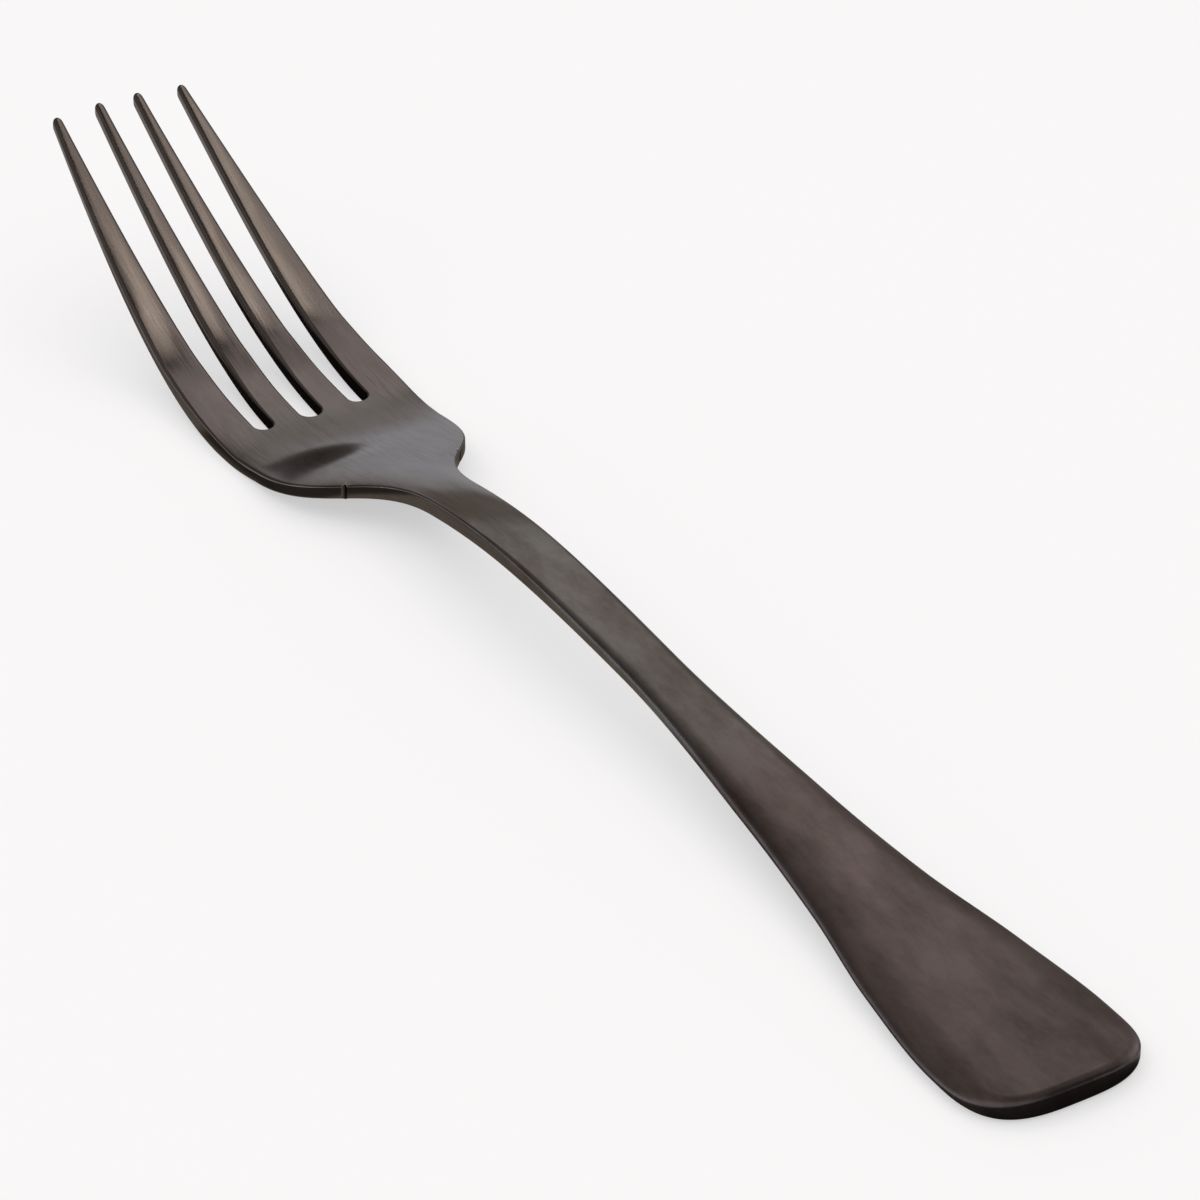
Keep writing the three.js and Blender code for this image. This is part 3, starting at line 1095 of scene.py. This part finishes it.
    def blank_mesh(self) -> bpy.types.Mesh:
        """Makes the flat blank as one closed mesh in metres.

        Returns:
            The blank, with heights measured from the side profile.
        """
        plan = self.draw_plan()
        points, tines = np.array(plan.points), np.array(plan.tines)
        rings = self.rings(plan, points, tines)
        inner = np.setdiff1d(np.arange(len(points)), plan.outline)
        x, y = points[inner].T
        upper = np.column_stack([x, y, self.upper(x, y, tines[inner])])
        lower = np.column_stack([x, y, -self.thickness(x)])
        vertices = np.vstack([*rings, upper, lower])
        vertices[:, 0] -= self.head.end / 2
        count, ring_points = len(plan.outline), len(plan.outline) * len(rings)
        here = np.arange(count)
        ahead = np.roll(here, -1)
        top, bottom = np.zeros((2, len(points)), int)
        for numbers, first_edge, first_inner in (
            (top, 0, ring_points),
            (bottom, ring_points - count, ring_points + len(inner)),
        ):
            numbers[plan.outline] = first_edge + here
            numbers[inner] = first_inner + np.arange(len(inner))
        faces = np.array(plan.faces)
        quads = [top[faces], bottom[faces][:, ::-1]]
        for high in range(0, ring_points - count, count):
            low = high + count
            quads.append(np.column_stack([here + high, here + low, ahead + low, ahead + high]))
        mesh = bpy.data.meshes.new(self.name + "_blank")
        mesh.from_pydata((vertices * MM).tolist(), [], np.vstack(quads).tolist())
        dent = self.trim.dent(points[plan.outline, 0])
        first_shaded_ring = 1 + self.density.highlight_rings
        # The trim mark's masks: a painted highlight on the burr's top rings and painted shade on the
        # rings below
        for name, first, end, share in (
            (TRIM_PAINTED_HIGHLIGHT, 1, first_shaded_ring, np.sqrt(dent)),
            (TRIM_PAINTED_SHADE, first_shaded_ring, len(rings) - 2, dent),
        ):
            shares = np.zeros(len(vertices))
            shares[first * count : end * count] = np.tile(share, end - first)
            mesh.attributes.new(name, "FLOAT", "POINT").data.foreach_set("value", shares)
        return mesh

    def build(self) -> bpy.types.Object:
        """Presses the blank into the fork.

        Returns:
            The fork as a plain mesh object at the origin.
        """
        fork = bpy.data.objects.new(self.name, self.blank_mesh())
        bpy.context.scene.collection.objects.link(fork)
        values: dict[str, Any] = {
            name: ((x - self.head.end / 2) * MM, 0.0, height * MM)
            for name, (x, height) in self.profile.points().items()
        }
        values["Die Width"] = self.die_width * MM
        values["Die Steps"] = self.die_steps
        values["Finish"] = self.finish.build(self.head.end / 2)
        PressTree().press(fork, values)
        return fork

    def dress(self, fork: bpy.types.Object) -> None:
        """Puts the fork in the place of its solid and hides the solid.

        Args:
            fork: The pressed fork's object.
        """
        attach(fork, "root")
        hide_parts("fork")


@dataclass(frozen=True)
class CeilingSoftbox:
    """A wide soft lamp over the fork, which lights the floor and stays out of reflections."""

    name: str = "ceiling_softbox"
    size: float = 2200.0
    height: float = 1405.0
    power: float = 14.5

    def build(self) -> bpy.types.Object:
        """Makes the lamp, which shines straight down.

        Returns:
            The lamp's object.
        """
        data = bpy.data.lights.new(self.name, "AREA")
        data.size = self.size * MM
        data.energy = self.power
        lamp = bpy.data.objects.new(self.name, data)
        lamp.location.z = self.height * MM
        lamp.visible_glossy = False
        bpy.context.scene.collection.objects.link(lamp)
        return lamp


class Paper(Enum):
    """What a card in the studio is covered with, by the light that it gives."""

    BLACK = 0.02
    CHARCOAL = 0.1
    DARK_GREY = 0.2
    MID_GREY = 0.3
    GREY = 0.45
    LIT_SILK = 1.4
    BRIGHT_SILK = 3.1


@dataclass(frozen=True)
class Card:
    """A card that only the metal's reflections show, so that the floor isn't lit or shaded by it.

    The card fades out towards its rim, so that its reflection has no hard edge.
    """

    name: str
    paper: Paper
    place: Place
    width: float
    height: float
    # Share of each half that the fade takes up
    fade: float
    # Azimuth and elevation that it faces, straight up unless it says otherwise
    facing: Pair = (180.0, 90.0)
    tone: str = "#fff3e6"

    def build(self) -> bpy.types.Object:
        """Makes the card.

        Returns:
            The card's object.
        """
        card = flat_sheet(self.name, self.width, self.height, self.material())
        card.location = Vector(self.place) * MM
        card.rotation_euler = direction(*self.facing).to_track_quat("Z", "Y").to_euler()
        card.visible_camera = False
        card.visible_diffuse = False
        card.visible_shadow = False
        return card

    def material(self) -> bpy.types.Material:
        """Makes the card's paper, evenly bright inside its faded rim.

        Returns:
            The paper's material.
        """
        material = bpy.data.materials.new("card_" + self.paper.name.lower())
        # Only mirrored rays find the card, so that a flag in front of a panel hides it
        material.cycles.emission_sampling = "NONE"
        add = start_nodes(material)
        place = add("ShaderNodeTexCoord").outputs["Object"]
        x, y, _ = add("ShaderNodeSeparateXYZ", (place,)).outputs
        sides = []
        for across, size in ((x, self.width), (y, self.height)):
            away = add("ShaderNodeMath", (across,), operation="ABSOLUTE")
            half = size / 2 * MM
            reach = (away, half, half * (1 - self.fade))
            sides.append(add("ShaderNodeMapRange", reach, interpolation_type="SMOOTHSTEP"))
        cover = add("ShaderNodeMath", tuple(sides), operation="MULTIPLY")
        clear = add("ShaderNodeBsdfTransparent")
        even = add("ShaderNodeEmission", (linear_rgba(self.tone), self.paper.value))
        mixed = add("ShaderNodeMixShader", (cover, clear, even))
        add("ShaderNodeOutputMaterial", (mixed,))
        return material


@dataclass(frozen=True)
class PaleFloor:
    """A table top of matt white laminate with a soft shadow.

    To the camera and in reflections an even glow takes up a little over half of the shadow. Far
    from the fork, where there is no shadow, the floor runs evenly pale into the backdrop.
    """

    name: str = "floor"
    size: float = 6000.0
    level: float = -0.02
    tone: str = "#f8f8f8"
    glow: float = 0.55
    even_from: float = 500.0
    even_at: float = 2000.0

    def build(self) -> bpy.types.Object:
        """Makes the floor just under the fork.

        Returns:
            The floor's object.
        """
        floor = flat_sheet(self.name, self.size, self.size, self.material())
        floor.location.z = self.level * MM
        return floor

    def material(self) -> bpy.types.Material:
        """Makes the floor's matt white, with an even glow for the camera and for reflections.

        Returns:
            The laminate's material.
        """
        material = bpy.data.materials.new("matt_white_laminate")
        add = start_nodes(material)
        matt = add("ShaderNodeBsdfDiffuse", (linear_rgba(self.tone),))
        even = add("ShaderNodeEmission", (linear_rgba(self.tone),))
        rays = add("ShaderNodeLightPath").outputs
        seen = rays["Is Camera Ray"]
        for name in ("Is Glossy Ray", "Is Transmission Ray"):
            seen = add("ShaderNodeMath", (seen, rays[name]), operation="MAXIMUM")
        place = add("ShaderNodeTexCoord").outputs["Object"]
        away = add("ShaderNodeVectorMath", (place,), operation="LENGTH")
        reach = (away, self.even_from * MM, self.even_at * MM, self.glow)
        evenness = add("ShaderNodeMapRange", reach, interpolation_type="SMOOTHSTEP")
        share = add("ShaderNodeMath", (seen, evenness), operation="MULTIPLY")
        mixed = add("ShaderNodeMixShader", (share, matt, even))
        add("ShaderNodeOutputMaterial", (mixed,))
        return material


@dataclass(frozen=True)
class Studio:
    """The pale floor, the soft lamp, the cards and the room around the fork."""

    floor: PaleFloor = PaleFloor()
    lamp: CeilingSoftbox = CeilingSoftbox()
    cards: tuple[Card, ...] = (
        Card("strip_panel", Paper.LIT_SILK, (64, -404, 807), 390, 225, 0.15, (99, -63)),
        Card("spot_panel", Paper.BRIGHT_SILK, (179, -286, 839), 190, 200, 0.15, (122, -68)),
        # The dark cards that lie on the floor are painted shadow: seen only in reflections, they
        # stand in for the shade that the fork casts on the floor beside and under it
        Card("end_floor_shade", Paper.BLACK, (-126, 8.5, 0.05), 60, 39, 0.1),
        Card("slot_floor_shade", Paper.BLACK, (65, -1.5, -0.005), 52, 24, 0.15),
        Card("side_floor_shade", Paper.CHARCOAL, (41, 21, -0.005), 38, 18, 0.2),
        Card("tine_floor_shade", Paper.GREY, (78, 22, -0.01), 60, 26, 0.2),
        Card("neck_floor_shade", Paper.GREY, (15, 30, -0.015), 110, 70, 0.2),
        Card("handle_floor_shade", Paper.CHARCOAL, (-80, 30, -0.015), 120, 70, 0.2),
        Card("left_flag", Paper.DARK_GREY, (209, 87, 150), 395, 300, 0.35, (200, -25)),
        Card("right_flag", Paper.MID_GREY, (545, -700, 175), 640, 880, 0.4, (128, -8)),
        Card("camera_flag", Paper.BLACK, (-299, -139, 110), 340, 400, 0.2, (35, -25)),
        Card("rim_flag", Paper.DARK_GREY, (-91, -50, 98), 124, 124, 0.3, (110, -60)),
        Card("crown_flag", Paper.MID_GREY, (7, -10, 110), 84, 80, 0.3, (172, -48)),
        Card("neck_top_flag", Paper.GREY, (57, -24.5, 26), 40, 18, 0.4, (152, -24)),
        Card("roll_flag", Paper.MID_GREY, (130, 150, 200), 260, 240, 0.3, (210, -38)),
        Card("handle_side_flag", Paper.BLACK, (18, 86, 76), 120, 100, 0.3, (220, -31)),
        # Painted shadow on the floor beside the handle and the shoulder, seen only in reflections
        Card("handle_right_floor_shade", Paper.DARK_GREY, (-62, -48, -0.015), 110, 76, 0.2),
        Card("shoulder_floor_shade", Paper.DARK_GREY, (37, -20, -0.01), 26, 22, 0.2),
    )
    # Tone of the room at each height above the table, in degrees
    room: tuple[tuple[float, str], ...] = (
        (0.0, "#e9f2ff"),
        (6.0, "#e9f2ff"),
        (10.0, "#dce1ea"),
        (15.0, "#d0d2d6"),
        (20.0, "#c6c6c8"),
        (25.0, "#c1c0bf"),
        (30.0, "#c0bfbd"),
        (35.0, "#d2d1ce"),
        (41.0, "#d4cac9"),
        (55.5, "#dbd3d2"),
        (58.0, "#928a82"),
        (64.0, "#716b67"),
        (72.0, "#625d59"),
        (90.0, "#5c5855"),
    )
    room_light: float = 1.6
    # Share of that light at the camera's end of the room, and how far towards +X it comes up
    unlit_end: float = 0.5
    unlit_to_lit: Pair = (-0.5, 0.3)

    def build(self) -> None:
        """Makes the floor, the lamp, the cards and the world."""
        for thing in (self.floor, self.lamp, *self.cards):
            thing.build()
        self.world()

    def world(self) -> None:
        """Makes the room, which the metal reflects, and a plain backdrop for the camera."""
        world = bpy.data.worlds.new("studio_room")
        bpy.context.scene.world = world
        add = start_nodes(world)
        towards = add("ShaderNodeTexCoord").outputs["Generated"]
        ahead, _, height = add("ShaderNodeSeparateXYZ", (towards,)).outputs
        ramp = add("ShaderNodeValToRGB", (height,))
        stops = ramp.color_ramp.elements
        stops.remove(stops[1])
        for number, (degrees, tone) in enumerate(self.room):
            position = math.sin(math.radians(degrees))
            stop = stops.new(position) if number else stops[0]
            stop.position = position
            stop.color = linear_rgba(tone)
        dark, full = self.room_light * self.unlit_end, self.room_light
        level = add("ShaderNodeMapRange", (ahead, *self.unlit_to_lit, dark, full))
        room = add("ShaderNodeBackground", (ramp, level))
        pale = add("ShaderNodeBackground", (linear_rgba(self.floor.tone),))
        seen = add("ShaderNodeLightPath").outputs["Is Camera Ray"]
        mixed = add("ShaderNodeMixShader", (seen, room, pale))
        add("ShaderNodeOutputWorld", (mixed,))


@dataclass(frozen=True)
class PhotoCamera:
    """The photograph's camera, fitted to the fork's outline."""

    name: str = "photo_camera"
    azimuth: float = 148.9446
    elevation: float = 32.0123
    distance: float = 536.363
    target: Place = (-5.7274, -4.2577, 5.0)
    roll: float = -0.576
    focal_px: float = 4926.64
    near: float = 10.0
    far: float = 20000.0

    def build(self) -> bpy.types.Object:
        """Makes the camera and makes it the scene's own.

        Returns:
            The camera's object.
        """
        back = direction(self.azimuth, self.elevation)
        level = (-back).cross(Vector((0, 0, 1))).normalized()
        upright = level.cross(-back)
        roll = math.radians(self.roll)
        right = level * math.cos(roll) + upright * math.sin(roll)
        up = back.cross(right)
        data = bpy.data.cameras.new(self.name)
        data.sensor_width = SENSOR_WIDTH_MM
        data.lens = self.focal_px / PHOTO_WIDTH_PX * SENSOR_WIDTH_MM
        data.clip_start, data.clip_end = self.near * MM, self.far * MM
        camera = bpy.data.objects.new(self.name, data)
        place = (Vector(self.target) + back * self.distance) * MM
        turn = Matrix((right, up, back)).transposed()
        camera.matrix_world = Matrix.Translation(place) @ turn.to_4x4()
        bpy.context.scene.collection.objects.link(camera)
        bpy.context.scene.camera = camera
        return camera


def main() -> None:
    """Builds the fork, the studio and the camera."""
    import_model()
    bpy.context.scene.view_settings.view_transform = "Standard"
    fork = Fork()
    piece = fork.build()
    fork.dress(piece)
    mesh = piece.data
    log.info("%s: %d faces, %d points", piece.name, len(mesh.polygons), len(mesh.vertices))
    Studio().build()
    PhotoCamera().build()


if __name__ == "__main__":
    logging.basicConfig(level=logging.INFO, format="%(name)s: %(message)s")
    main()
